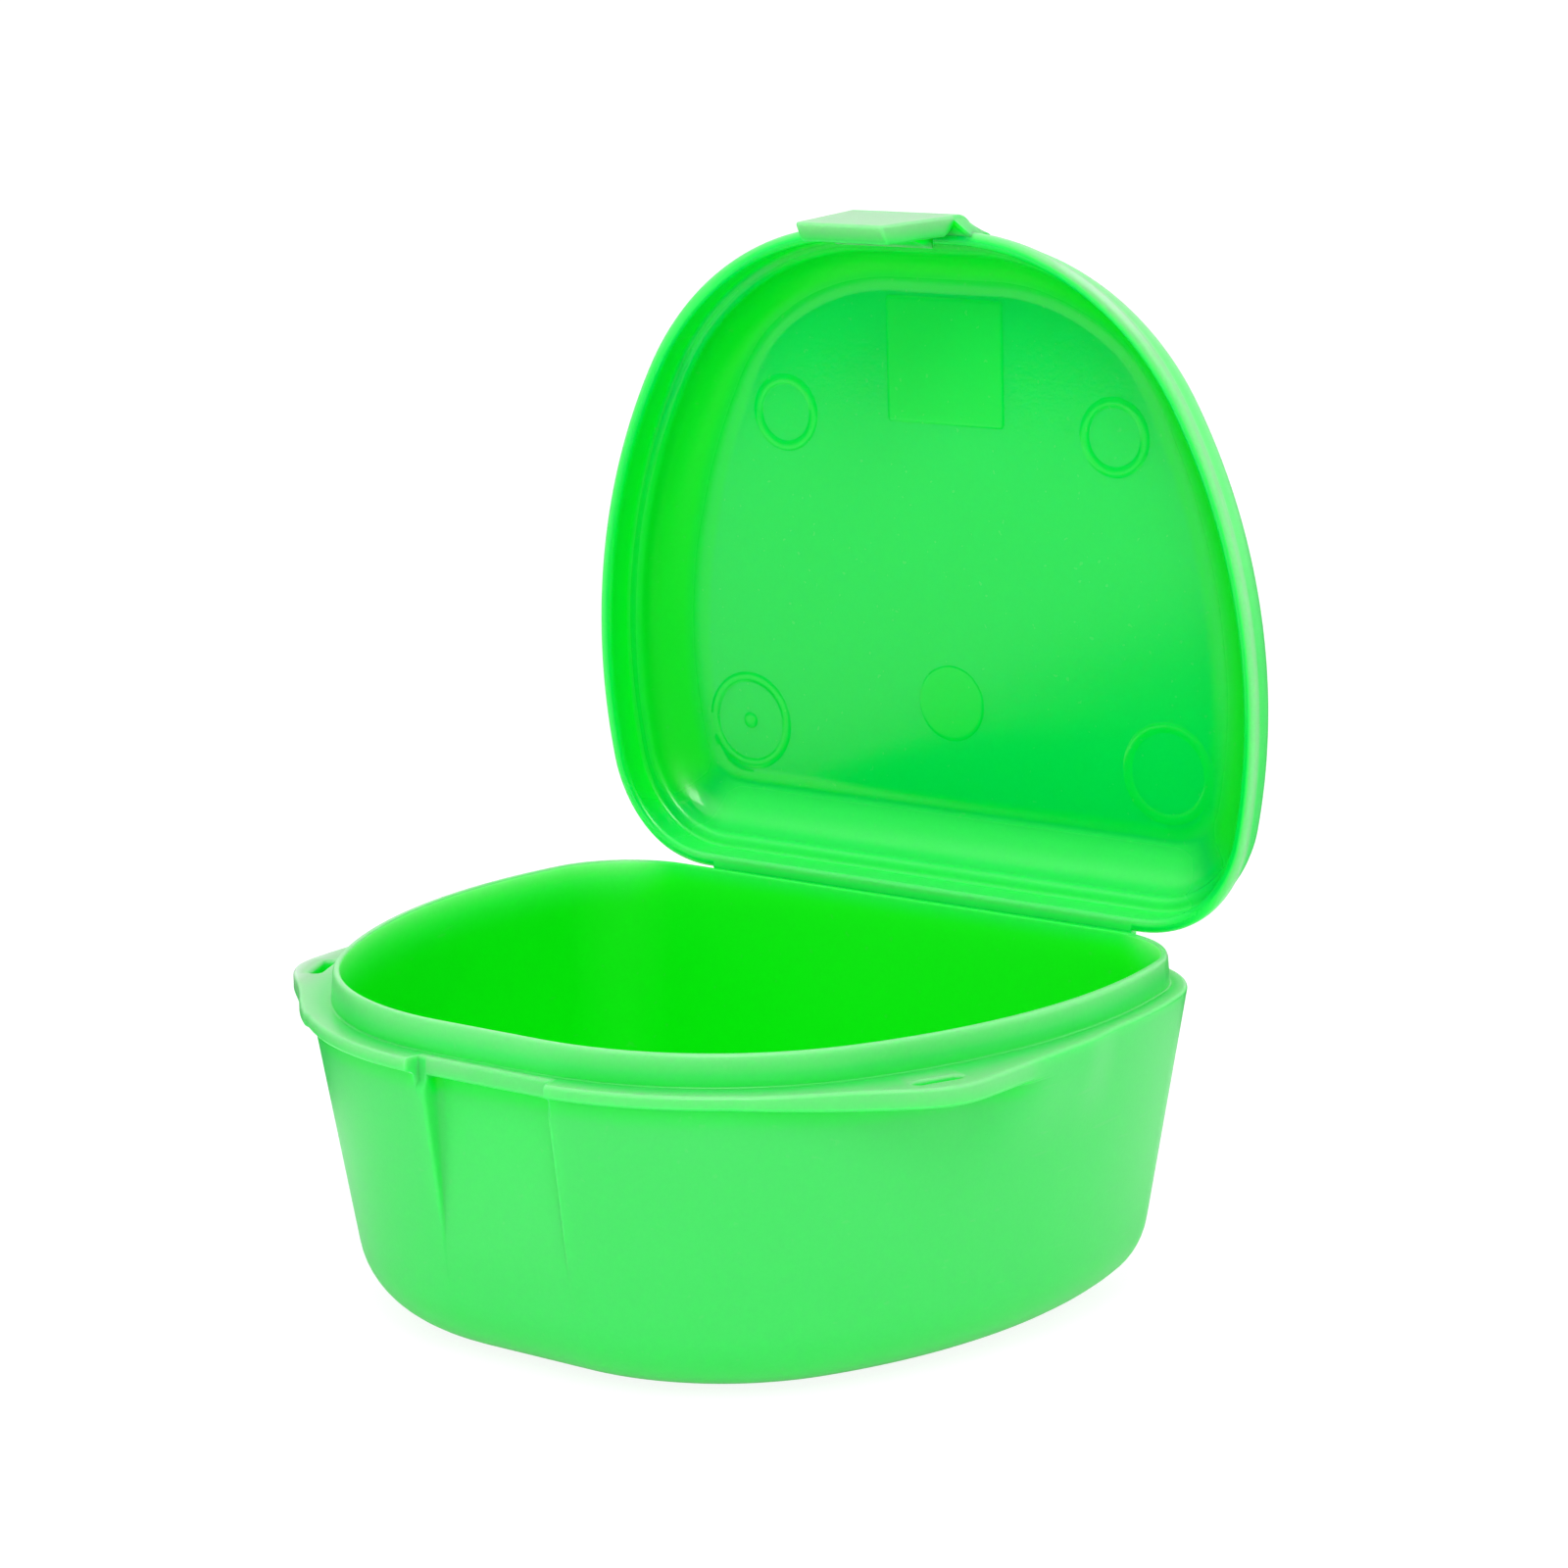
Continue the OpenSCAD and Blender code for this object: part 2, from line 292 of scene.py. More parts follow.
def flange_depth(station, side):
    """Thickness of the flange: thin at the front lip, thicker in the notch and out at the ears."""
    depth = lip_t + (ear_t - lip_t) * ease(*ear_thickens, station[0])
    return depth + (notch_t - depth) * in_notch(station, side)


# Tones of the tub, all painted light and shade, and what changes them: painted shade at the foot, under
# the flange, in the recess and at the collar's root, painted light on the band, the ears and the edges,
# painted backlight through the collar where no lid is behind
foot_tone, wall_tone, under_shade, under_h = 0.36, 0.5, 0.2, 2.0
recess_shade, recess_under, recess_shows = 0.07, 0.33, (0.2, 1.0)
underside_shade, underside_pale, overhang_shows = 0.12, 0.08, (0.0, 1.2)
band_pale, ear_pale, ear_band, ear_far = {1: 0.14, -1: 0.21}, {1: 0.25, -1: 1.0}, 0.2, (1.5, 4.0)
edge_tone, root_tones, collar_tones = 0.74, (0.41, 0.36), ((0.25, 0.45), (0.45, 0.53))
collar_round_tone, collar_edge_tone, collar_edge_shade = 0.63, 0.8, 0.55
inside_tone, inside_fade, lid_fade = 0.32, 5, 3
collar_glow, lid_dims, glow_depth = 0.8, 0.77, 0.9
lid_behind, lid_over_edge = (140, 178), (150, 178)


def inside(station, z):
    """Point of the inner wall at a height, with painted light: tone and glow paint the top paler, as light
    through the thin collar, less where the lid is behind.
    """
    depth = collar_top - z
    by_lid = ease(*lid_behind, station[0])
    tone = inside_tone * (1 - ease(0, inside_fade - lid_fade * by_lid, depth))
    glow = (collar_glow - lid_dims * by_lid) * math.exp(-depth / glow_depth)
    return core_inset(z), z, tone, glow


def tub_wall(station, side, low, high, flare, face_i):
    """Outer wall between two heights: points (inset, height, how much of a recess's end wall it is)."""
    reach = flange_reach(station, side)
    wall = []
    for z in spread(low, high, 26):
        deep = recess_d - recess_fade * wall_inset(z)
        full = 0.5 * (deep + math.sqrt(deep * deep + recess_soft))
        cut = recess_cut(station, side, full)
        steep = 4 * (cut / full) * (1 - cut / full)
        flared = brow_inset(z, reach * (1 - ease(0, fade_h, high - z)))
        inset = max(wall_inset(z) + flare * (flared - wall_inset(z)) + cut, face_i - (high - z))
        wall.append((inset, z, steep * ease(*recess_shows, full)))
    return wall


def tub_profile(station, side):
    """Section of the tub at a station, from under the floor, up the outside and down the inside."""
    angle = station[0]
    reach = flange_reach(station, side)
    low_z = ledge_h - flange_depth(station, side)
    flare = ease(*flange_fades, angle) if angle < 180 else 0.0

    def on_brow(points):
        """Draws points (inset, height) to the plain slope that the flange fades into at the sides."""
        return [(i + flare * (brow_inset(z, reach) - i), z) for i, z in points]

    foot = (wall_inset(bottom_r) + bottom_r / math.cos(math.radians(draft_a)), bottom_r)
    path = toned(rounded(foot, (bottom_r, bottom_r), -90, -draft_a, 14), foot_tone, wall_tone)
    wall_high, under_z = low_z - cove_r, low_z + under_slope + flange_edge_r
    face_i = flare * (brow_z - under_z) * brow_t - reach
    wall = tub_wall(station, side, path[-1][1], wall_high, flare, face_i)
    wall_i = wall[-1][0]
    stands_out = ease(*overhang_shows, wall_i - face_i)
    # Painted shade: the wall turns deeper under the flange and on the recess's end walls
    for inset, z, steep in wall:
        shade = stands_out * (1 - ease(0.0, under_h, wall_high - z))
        tone = wall_tone - under_shade * shade - (recess_shade + recess_under * shade) * steep
        path.append((inset, z, max(0.0, tone), 0.0))

    # Painted shade in the cove under the flange; painted light on its underside, on the band and along its
    # edge, most out on the left ear
    soft = min(flange_edge_r, (wall_i - face_i) / 2)
    cove = rounded((wall_i - soft, wall_high), (soft, cove_r), 180, 90)
    path += toned(on_brow(cove[1:]), wall_tone - under_shade * stands_out)
    under = rounded((soft + face_i, under_z), (soft, flange_edge_r), -90, 0)
    under_low = wall_tone - underside_shade * stands_out
    under_high = wall_tone + underside_pale * stands_out
    path += toned(on_brow(under), under_low, under_high)
    edge = rounded((flange_edge_r - reach, brow_z), (flange_edge_r, flange_edge_r), 0, 90)
    far_out = ease(*ear_far, reach) * ear_pale[side]
    band_tone = wall_tone + (band_pale[side] + ear_band * far_out) * stands_out
    path += toned(edge, band_tone, edge_tone + (1 - edge_tone) * far_out)

    # Painted shade in the crease at the collar's root, then painted light up the collar to a pale top
    # edge, with painted shade where the lid hangs over it
    root = rounded((ledge_w - root_r, ledge_h + root_r), (root_r, root_r), -90, -180)
    path += toned(root, *root_tones)
    for part, tone in collar_tones:
        path.append((ledge_w + part * collar_lean, ledge_h + part * collar_h, tone, 0.0))
    top_c = (ledge_w + collar_lean + collar_round_w, collar_top - collar_round_h)
    top_tone = collar_edge_tone - collar_edge_shade * ease(*lid_over_edge, angle)
    top = rounded(top_c, (collar_round_w, collar_round_h), 0, 90, 8)
    path += toned(top, collar_round_tone, top_tone)
    in_c = (collar_in - collar_inner_r, collar_top - collar_inner_r)
    path += toned(rounded(in_c, (collar_inner_r, collar_inner_r), 90, 180)[:-1], top_tone)

    core_z = floor_t + inner_r
    core_c = (core_inset(core_z) + inner_r / math.cos(math.radians(core_a)), core_z)
    hollow = rounded(core_c, (inner_r, inner_r), -core_a, -90, 14)
    drop = in_c[1] - hollow[0][1]
    # Painted light near the top of the inner wall, then painted shade: the deep green all down into the
    # hollow
    path += [inside(station, in_c[1] - drop * (k / 24) ** 1.8) for k in range(24)]
    return path + toned(hollow, 0.0)


notch_x = [5.5, 5.8, front_c.x, 6.12] + spread(6.16, 7.5, 22) + [7.7] + spread(7.8, 8.9, 18) + [9.2]
land_stations = [land_x - 0.08 * k for k in range(6)] + [22.0, 16.0, 10.0, 5.0, 0.0]
tub_stations = plan_stations([0.0, 1.5, 3.0, 4.5] + notch_x, land_stations)
tub_right = [tub_profile(s, 1) for s in tub_stations]
tub_left = [tub_profile(s, -1) for s in tub_stations]
tub = skin("moulded_tub", tub_stations, tub_right, tub_left)

# Cord slots in the two ears, with soft rounded mouths; painted shade makes them deep green inside and
# painted light makes them pale at the top edge
slot_l, slot_w, slot_offset, slot_a = 5.0, 1.0, 1.7, 66.5
mouth_r, mouth_past, mouth_near = 0.45, 0.3, 0.02
slot_tone, mouth_pale, mouth_fade = 0.1, 0.66, 0.7
slot_c = side_c + (side_r + slot_offset) * heading(slot_a)
slot_along = Vector((math.cos(math.radians(slot_a)), math.sin(math.radians(slot_a))))
slot_across = heading(slot_a)


def cord_slot(side):
    """Cutter for one ear's slot: a stadium that flares at both faces of the flange."""
    mouth_low = ledge_h - ear_t + under_slope
    turns = [math.radians(turn) for turn in range(0, 91, 15)]
    flares = [(mouth_r * (1 - math.sin(t)), mouth_r * (1 - math.cos(t))) for t in turns]
    levels = [(mouth_r + mouth_past, mouth_low - mouth_past)]
    levels += [(grow, mouth_low + rise) for grow, rise in flares]
    levels += [(grow, ledge_h - rise) for grow, rise in reversed(flares)]
    levels.append((mouth_r + mouth_past, ledge_h + mouth_past))
    points = []
    around = 48
    for grow, z in levels:
        radius = slot_w / 2 + grow
        for k in range(around):
            t = 2 * math.pi * (k + 0.5) / around
            run = math.copysign((slot_l - slot_w) / 2, math.cos(t)) + radius * math.cos(t)
            spot = slot_c + slot_along * run + slot_across * radius * math.sin(t)
            points.append((side * spot.x, spot.y, z))
    faces = end_faces(len(levels), around) + side_faces(len(levels), around)
    return solid("cord_slot", points, faces, [slot_tone] * len(points))


for side in (1, -1):
    join_solid(tub, cord_slot(side), "DIFFERENCE")
# Paints the slot deep green inside as shade and pale towards the mouth's top edge as light
for vertex, tone in zip(tub.data.vertices, tub.data.attributes["tone"].data):
    spot = Vector((abs(vertex.co.x), vertex.co.y)) / MM - slot_c
    run = max(0.0, abs(spot.dot(slot_along)) - (slot_l - slot_w) / 2)
    off = math.hypot(run, spot.dot(slot_across)) - slot_w / 2
    height = vertex.co.z / MM - ledge_h
    if off < mouth_r + mouth_near and -ear_t - 0.1 < height < 0.1:
        tone.value = slot_tone + mouth_pale * ease(-mouth_fade, 0.0, height)
even_shading(tub)


def map_range(tree, source, came, goes, smooth=False):
    """Turns a socket's values from one range to another, held at its ends."""
    node = tree.nodes.new("ShaderNodeMapRange")
    node.interpolation_type = "SMOOTHSTEP" if smooth else "LINEAR"
    for name, value in zip(("From Min", "From Max", "To Min", "To Max"), (*came, *goes)):
        node.inputs[name].default_value = value
    tree.links.new(source, node.inputs["Value"])
    return node.outputs["Result"]


def reckon(tree, operation, *terms):
    """Math on sockets and plain numbers."""
    node = tree.nodes.new("ShaderNodeMath")
    node.operation = operation
    for k, term in enumerate(terms):
        if isinstance(term, float):
            node.inputs[k].default_value = term
        else:
            tree.links.new(term, node.inputs[k])
    return node.outputs["Value"]


def noise(tree, place, scale, detail):
    """Noise over a place."""
    node = tree.nodes.new("ShaderNodeTexNoise")
    node.inputs["Scale"].default_value = scale
    node.inputs["Detail"].default_value = detail
    tree.links.new(place, node.inputs["Vector"])
    return node.outputs["Fac"]


def mixed(tree, factor, first, second, blend="MIX"):
    """Mixes a plain colour into a colour socket."""
    node = tree.nodes.new("ShaderNodeMix")
    node.data_type = "RGBA"
    node.blend_type = blend
    node.inputs["B"].default_value = (*second, 1)
    tree.links.new(factor, node.inputs["Factor"])
    tree.links.new(first, node.inputs["A"])
    return node.outputs["Result"]


def moulded_grain():
    """Fine spark-eroded grain and slow cloudiness of a thin translucent moulding."""
    group = bpy.data.node_groups.new("moulded_grain", "ShaderNodeTree")
    for name in ("Grain", "Cloud"):
        group.interface.new_socket(name, in_out="OUTPUT", socket_type="NodeSocketFloat")
    place = group.nodes.new("ShaderNodeTexCoord").outputs["Object"]
    out = group.nodes.new("NodeGroupOutput")
    for name, scale, detail in (("Grain", 2600, 3), ("Cloud", 55, 4)):
        group.links.new(noise(group, place, scale, detail), out.inputs[name])
    return group


def handling_marks():
    """Sparse hairline scratches and dust specks, as a mask."""
    group = bpy.data.node_groups.new("handling_marks", "ShaderNodeTree")
    group.interface.new_socket("Marks", in_out="OUTPUT", socket_type="NodeSocketFloat")
    place = group.nodes.new("ShaderNodeTexCoord").outputs["Object"]
    turn = group.nodes.new("ShaderNodeMapping")
    turn.inputs["Rotation"].default_value = (0.5, 0.9, 0.4)
    turn.inputs["Scale"].default_value = (1, 0.06, 1)
    group.links.new(place, turn.inputs["Vector"])
    hairs = group.nodes.new("ShaderNodeValToRGB")
    hairs.color_ramp.elements[0].position = 0.735
    hairs.color_ramp.elements[1].position = 0.75
    group.links.new(noise(group, turn.outputs["Vector"], 1500, 1), hairs.inputs["Fac"])
    dust = group.nodes.new("ShaderNodeTexVoronoi")
    dust.inputs["Scale"].default_value = 230
    group.links.new(place, dust.inputs["Vector"])
    specks = reckon(group, "LESS_THAN", dust.outputs["Distance"], 0.01)
    out = group.nodes.new("NodeGroupOutput")
    group.links.new(reckon(group, "MAXIMUM", hairs.outputs["Color"], specks), out.inputs["Marks"])
    return group


grain_group, marks_group = moulded_grain(), handling_marks()
# Tints along the tone: deep green is painted shade and green bounce light in hollows, the edge and pale
# greens are painted light on edges, and glow green is painted backlight through thin plastic
deep_green, inner_green, wall_green = (0.0, 0.77, 0.003), (0.0, 0.73, 0.05), (0.052, 0.625, 0.12)
edge_green, pale_green, glow_green = (0.25, 0.53, 0.27), (0.47, 0.58, 0.49), (0.5, 0.86, 0.5)
grain_tint, scatter_tint, mark_strength = (0.86, 0.96, 0.90), (0.2, 1.0, 0.3), 0.08
cloud_rough, polished_tone, polish_ends = 0.08, 0.25, (0.05, 0.2)


def polypropylene(name, tints, rough, dull=0.0, scatter=0.0025):
    """Green polypropylene: satin, a little translucent, with grain and a few marks, and with light and
    shade painted from the tone and glow values.
    The three tints are those deep inside, on an inner face and on an outer wall. Dull is how much
    rougher it is away from a polished face."""
    material = bpy.data.materials.new(name)
    material.use_nodes = True
    tree = material.node_tree
    shader = tree.nodes["Principled BSDF"]
    shader.inputs["IOR"].default_value = 1.49
    shader.inputs["Subsurface Weight"].default_value = 1.0
    shader.inputs["Subsurface Radius"].default_value = scatter_tint
    shader.inputs["Subsurface Scale"].default_value = scatter
    grain = tree.nodes.new("ShaderNodeGroup")
    grain.node_tree = grain_group
    marks = tree.nodes.new("ShaderNodeGroup")
    marks.node_tree = marks_group
    tone = tree.nodes.new("ShaderNodeAttribute")
    tone.attribute_name = "tone"
    glow = tree.nodes.new("ShaderNodeAttribute")
    glow.attribute_name = "glow"

    deep, inner, wall = tints
    # The ramp turns the tone of painted light and shade into colour
    ramp = tree.nodes.new("ShaderNodeValToRGB")
    ramp.color_ramp.elements[0].color = (*deep, 1)
    ramp.color_ramp.elements[1].color = (*pale_green, 1)
    for position, colour in ((0.25, inner), (0.5, wall), (0.85, edge_green)):
        stop = ramp.color_ramp.elements.new(position)
        stop.color = (*colour, 1)
    tree.links.new(tone.outputs["Fac"], ramp.inputs["Fac"])
    # Painted backlight: glow mixes in a pale green where light is painted through thin plastic
    thin = mixed(tree, glow.outputs["Fac"], ramp.outputs["Color"], glow_green)
    thicker = mixed(tree, grain.outputs["Grain"], thin, grain_tint, "MULTIPLY")
    faint = reckon(tree, "MULTIPLY", marks.outputs["Marks"], mark_strength)
    tree.links.new(mixed(tree, faint, thicker, edge_green), shader.inputs["Base Color"])

    gloss = map_range(tree, grain.outputs["Cloud"], (0, 1), (rough, rough + cloud_rough))
    off_polish = reckon(tree, "SUBTRACT", tone.outputs["Fac"], polished_tone)
    duller = map_range(tree, reckon(tree, "ABSOLUTE", off_polish), polish_ends, (0, dull))
    tree.links.new(reckon(tree, "ADD", gloss, duller), shader.inputs["Roughness"])
    bump = tree.nodes.new("ShaderNodeBump")
    bump.inputs["Strength"].default_value = 0.12
    bump.inputs["Distance"].default_value = 0.00006
    tree.links.new(grain.outputs["Grain"], bump.inputs["Height"])
    tree.links.new(bump.outputs["Normal"], shader.inputs["Normal"])
    return material


case_tints = (deep_green, inner_green, wall_green)
tub.data.materials.append(polypropylene("tub_green", case_tints, 0.29))
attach(tub, "base")
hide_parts("base_tub")

# Hinge strip
# The living hinge: a strip of the same plastic, a third of a millimetre thick, that leaves the tub's rear
# land and bends round to the lid's land. The real strip flexes as the lid turns; here it is built bent for
# the open lid.
seat_gap, web_t, open_a = 0.2, 0.35, 88.0
hinge = Vector((0, rear_y + hinge_back, ledge_h + seat_gap / 2))
bend_r = web_half * math.tan(math.radians(open_a / 2)) + seat_gap / 2
bend_c = Vector((hinge.y - web_half, ledge_h + bend_r))
bend_turns = [math.radians(-90 + (180 - open_a) * k / 16) for k in range(17)]
strip_x = land_x - land_end / 2
# The strip's low tone paints it a brighter deep green, painted light against the shade it sits in between
# the lid and the tub
tuck, strip_cuts, strip_tone = 0.25, 27, 0.12


def on_bend(radius):
    """Points (y, z) of the bend at a radius, from the tub's land to the lid's."""
    return [bend_c + radius * Vector((math.cos(t), math.sin(t))) for t in bend_turns]


def strip_section():
    """Closed section (y, z) of the strip, tucked a little into both lands."""
    inner, outer = on_bend(bend_r), on_bend(bend_r + web_t)
    base_way = Vector((-tuck, 0))
    lid_way = tuck * Vector((-math.sin(bend_turns[-1]), math.cos(bend_turns[-1])))
    ends = [inner[-1] + lid_way, outer[-1] + lid_way]
    starts = [outer[0] + base_way, inner[0] + base_way]
    return inner + ends + outer[::-1] + starts


section = strip_section()
strip_points = []
for k in range(strip_cuts):
    x = strip_x * (2 * k / (strip_cuts - 1) - 1)
    strip_points += [(x, p.x, p.y) for p in section]
first, last = end_faces(strip_cuts, len(section))
strip_faces = side_faces(strip_cuts, len(section)) + [first, last[::-1]]
strip = solid("bent_hinge_strip", strip_points, strip_faces, [strip_tone] * len(strip_points))
even_shading(strip)
strip.data.materials.append(polypropylene("strip_green", case_tints, 0.28))
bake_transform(strip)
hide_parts("hinge_web")

# Lid
# The upper half of the moulding: a domed lid whose rim drops over the collar onto the ledge. Inside it has
# a seat for the collar, a step and a polished flat panel with the faint marks of ejector pins and a gate.
side_gap, top_gap = 0.3, 0.35
lid_h, lid_r, lid_taper, lid_t = 8.85, 6.8, 0.7, 1.4
step_w, bowl_h, land_t, rear_full = 1.5, 3.6, 1.3, 0.4
front_bowl_w, rear_bowl_w = 4.4, 6.5
rim_out_r, rim_in_r, seat_r, step_r, land_r = 0.45, 0.5, 0.5, 0.8, 0.2
bowl_widens, rear_fills, near_hinge, tab_covers = (35, 80), (110, 160), (115, 178), (6.5, 9.0)
# The lid's tones paint light and shade as the tub's: the dome climbs to a paler crown at the top as
# painted light
panel_tone, dome_tone, crown_tone = polished_tone, 0.5, 0.62
lid_deep, lid_inner, lid_wall = (0.0, 0.67, 0.013), (0.0, 0.6, 0.085), (0.025, 0.73, 0.115)
rim_z = ledge_h + seat_gap
rim_t = ledge_w - side_gap
seat_h = collar_h + top_gap - seat_gap
seat_i = rim_t + step_w
crown_z = lid_h - lid_r
to_open = (
    Matrix.Translation(hinge * MM)
    @ Matrix.Rotation(math.radians(-open_a), 4, "X")
    @ Matrix.Translation(-hinge * MM)
)


def lid_painted_light(angle, side):
    """How much painted light makes the outside paler at a plan angle: most at the right front corner, not
    at the left.
    """
    if side < 0:
        return 0.0
    return ease(12, 28, angle) * (1 - 0.6 * ease(35, 60, angle)) * (1 - ease(110, 150, angle))


def lid_profile(station, side):
    """Section of the closed lid at a station, from its panel's inside, round the rim and over the top."""
    angle, x = station
    full = rear_full * ease(*rear_fills, angle)
    land = land_reach * (1 - ease(land_x - land_end, land_x, x)) if angle >= 180 else 0.0
    reach = max(0.0, land - full)
    # Painted light and shade: paler on the right flank, deeper on the rim under the tab and by the hinge,
    # paler in the bowl and on the step near the hinge and the tab
    pale, by_hinge = lid_painted_light(angle, side), ease(*near_hinge, angle)
    by_tab = ease(20, 40, angle) * (1 - ease(50, 75, angle))
    under_tab = 0.0 if angle > front_zone_a else 1 - ease(*tab_covers, x)
    deep, thin = 0.02 + 0.46 * by_hinge, 0.12 + 0.38 * by_hinge + 0.3 * by_tab

    bowl_w = front_bowl_w + (rear_bowl_w - front_bowl_w) * ease(*bowl_widens, angle)
    bowl = rounded((seat_i + bowl_w, lid_h - lid_t - bowl_h), (bowl_w, bowl_h), 90, 0, 14)
    path = toned(bowl[:6], panel_tone, deep) + toned(bowl[6:-1], deep)
    step = rounded((seat_i - step_r, seat_h + step_r), (step_r, step_r), 180, 270)
    path += toned(step, deep, thin)
    seat = rounded((rim_t + seat_r, seat_h - seat_r), (seat_r, seat_r), 90, 0)
    path += toned(seat, thin, deep + 0.03)
    rim_in = rounded((rim_t - rim_in_r, rim_in_r), (rim_in_r, rim_in_r), 180, 270)
    path += toned(rim_in, deep + 0.05, thin + 0.1)

    rim_out = rounded((rim_out_r - reach, rim_out_r), (rim_out_r, rim_out_r), -90, 0)
    # Painted shade on the rim under the tab and by the hinge, painted light on the right flank
    rim_tone = 0.62 + 0.22 * pale - 0.45 * by_hinge - 0.55 * under_tab
    path += toned(rim_out, rim_tone, rim_tone + 0.12)
    wall_i = lid_taper * land_t / crown_z
    soft = min(land_r, (wall_i + reach) / 2)
    land_edge = rounded((soft - reach, land_t - 2 * land_r), (soft, land_r), 0, 90)
    path += toned(land_edge, 0.7 + 0.12 * pale - 0.5 * by_hinge)
    land_root = rounded((wall_i - soft, land_t), (soft, land_r), 270, 180)
    path += toned(land_root, 0.6 + 0.18 * pale - 0.35 * by_hinge)
    dome = rounded((lid_taper + lid_r, crown_z), (lid_r, lid_r), 0, 90, 18)
    path += toned(dome, dome_tone + 0.22 * pale, crown_tone)
    return [(inset - full, z + rim_z, tone, glow) for inset, z, tone, glow in path]


lid_front_x = [0.0, 1.5, 3.0, 4.5, front_c.x, 6.7, 7.4, 8.1, 8.8, 9.6]
lid_stations = plan_stations(lid_front_x, land_stations)
lid_right = [lid_profile(s, 1) for s in lid_stations]
lid_left = [lid_profile(s, -1) for s in lid_stations]
lid = skin("moulded_lid", lid_stations, lid_right, lid_left)

# Ejector rings, a low pad by the tab, a gate disc and a pin mark on the panel's inside
panel_z = rim_z + lid_h - lid_t
ring_h, ring_w, mark_shade = 0.08, 1.2, 0.08


def panel_ring(x, y, radius):
    """Low round ridge on the panel's inside, left by an ejector pin."""
    points, faces = [], []
    around, across = 72, 10
    for k in range(around):
        turn = 2 * math.pi * k / around
        for j in range(across):
            t = 2 * math.pi * j / across
            r = radius + ring_w / 2 * math.cos(t)
            points.append((x + r * math.cos(turn), y + r * math.sin(turn), panel_z + ring_h * math.sin(t)))
            a, b = k * across + j, k * across + (j + 1) % across
            c = ((k + 1) % around) * across
            faces.append((a, b, c + (j + 1) % across, c + j))
    return points, faces


def panel_pad(x, y, half_x, half_y, corner, height):
    """Low flat pad on the panel's inside, with a soft edge."""
    points = []
    levels = [(0.0, -height), (0.0, 0.0), (0.08, 0.6 * height), (0.22, 0.9 * height), (0.45, height)]
    around = 64
    for inset, drop in levels:
        for k in range(around):
            turn = 2 * math.pi * (k + 0.5) / around
            r = corner - inset
            px = math.copysign(half_x - corner, math.cos(turn)) + r * math.cos(turn)
            py = math.copysign(half_y - corner, math.sin(turn)) + r * math.sin(turn)
            points.append((x + px, y + py, panel_z - drop))
    first, last = end_faces(len(levels), around)
    return points, side_faces(len(levels), around) + [first, last[::-1]]


panel_marks = [
    panel_ring(-20.0, -13.5, 3.5),
    panel_ring(20.0, -13.5, 3.5),
    panel_ring(-25.8, 19.9, 4.7),
    panel_ring(25.8, 19.9, 4.7),
    panel_pad(0.0, -19.9, 7.1, 6.5, 0.5, 0.12),
    panel_pad(0.0, 15.4, 4.0, 4.0, 4.0, 0.05),
    panel_pad(-25.8, 19.9, 0.9, 0.9, 0.9, 0.12),
]
mark_points, mark_faces = [], []
for points, faces in panel_marks:
    first = len(mark_points)
    mark_faces += [[first + k for k in face] for face in faces]
    mark_points += points
marks = solid("panel_marks", mark_points, mark_faces, [panel_tone] * len(mark_points))
join_solid(lid, marks, "UNION")
for vertex, tone in zip(lid.data.vertices, lid.data.attributes["tone"].data):
    rise = panel_z - vertex.co.z / MM
    if abs(rise) < 0.15:
        tone.value = panel_tone - (mark_shade if rise > 0.02 else 0.0)
lid.data.transform(to_open)
even_shading(lid)
lid_tints = (lid_deep, lid_inner, lid_wall)
lid.data.materials.append(polypropylene("lid_green", lid_tints, 0.08, dull=0.24, scatter=0.003))
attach(lid, "lid")
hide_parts("lid_shell")

# Snap tab
# A tapered tongue that hangs from a boss on the lid's front wall, moulded in one with it. Its hook snaps
# under the tub's flange. The real tab bends at its root when a thumb lifts it; here it is built straight.
tab_tip_w, tab_top_w, tab_drop = 10.3, 14.2, 10.6
tab_t, tab_gap, flex_t, flex_l, tip_lean = 2.0, 0.2, 1.0, 1.3, 0.9
hook_d, hook_w, hook_h, hook_gap, hook_nose, hook_root = 1.0, 11.2, 3.4, 0.3, 0.3, 0.4
boss_h, boss_flat, boss_round, boss_flare = 4.8, 0.9, 1.8, 2.0
boss_bury, boss_bury_more, bury_ends = 0.6, 0.8, (2.5, 4.6)
tab_edge_r, tab_bend = 0.36, 3.5
# Tones of the tab: painted light makes its outer face and boss pale, painted shade deepens its back
# towards the root and the hook
face_tone, back_tone, boss_tone, boss_root_tone, hook_tone = 0.8, 0.5, 0.62, 0.55, 0.0
tab_out = tab_t - (set_back - tab_gap)
tip_z = rim_z - tab_drop
inner_y, outer_y = front_y + set_back - tab_gap, front_y - tab_out


def tab_half(z):
    """Half the tab's width at a height: it widens evenly from its free end to the top of the boss."""
    return (tab_tip_w + (tab_top_w - tab_tip_w) * (z - tip_z) / (tab_drop + boss_h)) / 2


def tab_back(z):
    """Inner face of the tab at a height: flat, then curving out towards the rim, where the tab bends."""
    near = max(0.0, 1 - (rim_z - z) / flex_l)
    return inner_y - (tab_t - flex_t) * near ** 1.5


def boss_face(rise):
    """Outer face of the boss: flush with the tab, then rounded over and sloping back to the lid's wall."""
    turn = max(0.0, rise - boss_flat) / boss_round
    if turn < math.sqrt(0.5):
        return outer_y + boss_round * (1 - math.sqrt(1 - turn * turn))
    return outer_y + boss_round * (1 + turn - math.sqrt(2))


